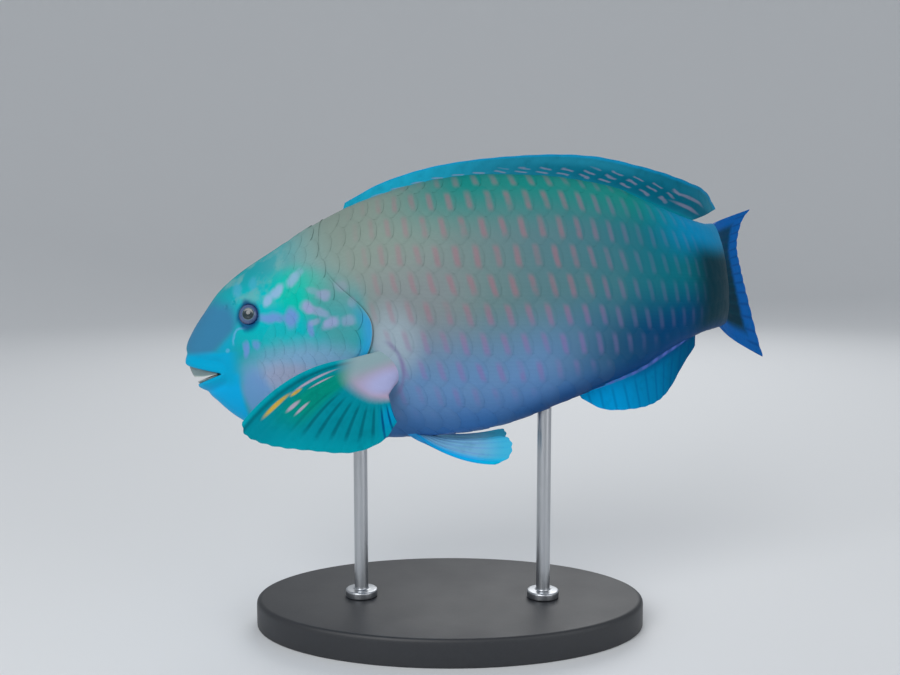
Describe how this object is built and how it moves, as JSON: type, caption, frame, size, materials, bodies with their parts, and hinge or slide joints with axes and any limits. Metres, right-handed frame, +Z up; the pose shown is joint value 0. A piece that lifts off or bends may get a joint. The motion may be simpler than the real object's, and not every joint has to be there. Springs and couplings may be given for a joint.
{
  "type": "parrotfish model",
  "caption": "Life-size still model of a blue-green parrotfish swimming with its body bent, head turned and fins spread, held by an oval display stand.",
  "frame": {"origin": "centre of the flat underside of the stand's base", "axes": "+X from the head towards the tail, -Y on the fish's left side, +Z up"},
  "size_m": [0.2834, 0.1614, 0.2042],
  "materials": {
    "head_skin": "satin, wet-looking scales in turquoise with lavender marks",
    "body_skin": "satin overlapping scales, grey-teal with pink bars",
    "beak": "smooth grey-green plates with a pale edge",
    "eye": "clear and glossy over a dark iris",
    "fin": "satin membrane between ribbed rays",
    "tail_fin": "satin membrane, blue edges round a dark green middle",
    "stand_base": "matt charcoal paint",
    "stand_rod": "brushed"
  },
  "bodies": {
    "root": {"head": "head_skin", "beak_upper": "beak", "beak_lower": "beak", "eye_left": "eye", "eye_right": "eye", "torso": "body_skin", "tail_stalk": "body_skin", "dorsal_fin": "fin", "anal_fin": "fin", "caudal_fin": "tail_fin", "pectoral_fin_left": "fin", "pectoral_fin_right": "fin", "pelvic_fin_left": "fin", "pelvic_fin_right": "fin", "stand_base": "stand_base", "stand_rod_front": "stand_rod", "stand_rod_rear": "stand_rod"}
  },
  "joints": []
}
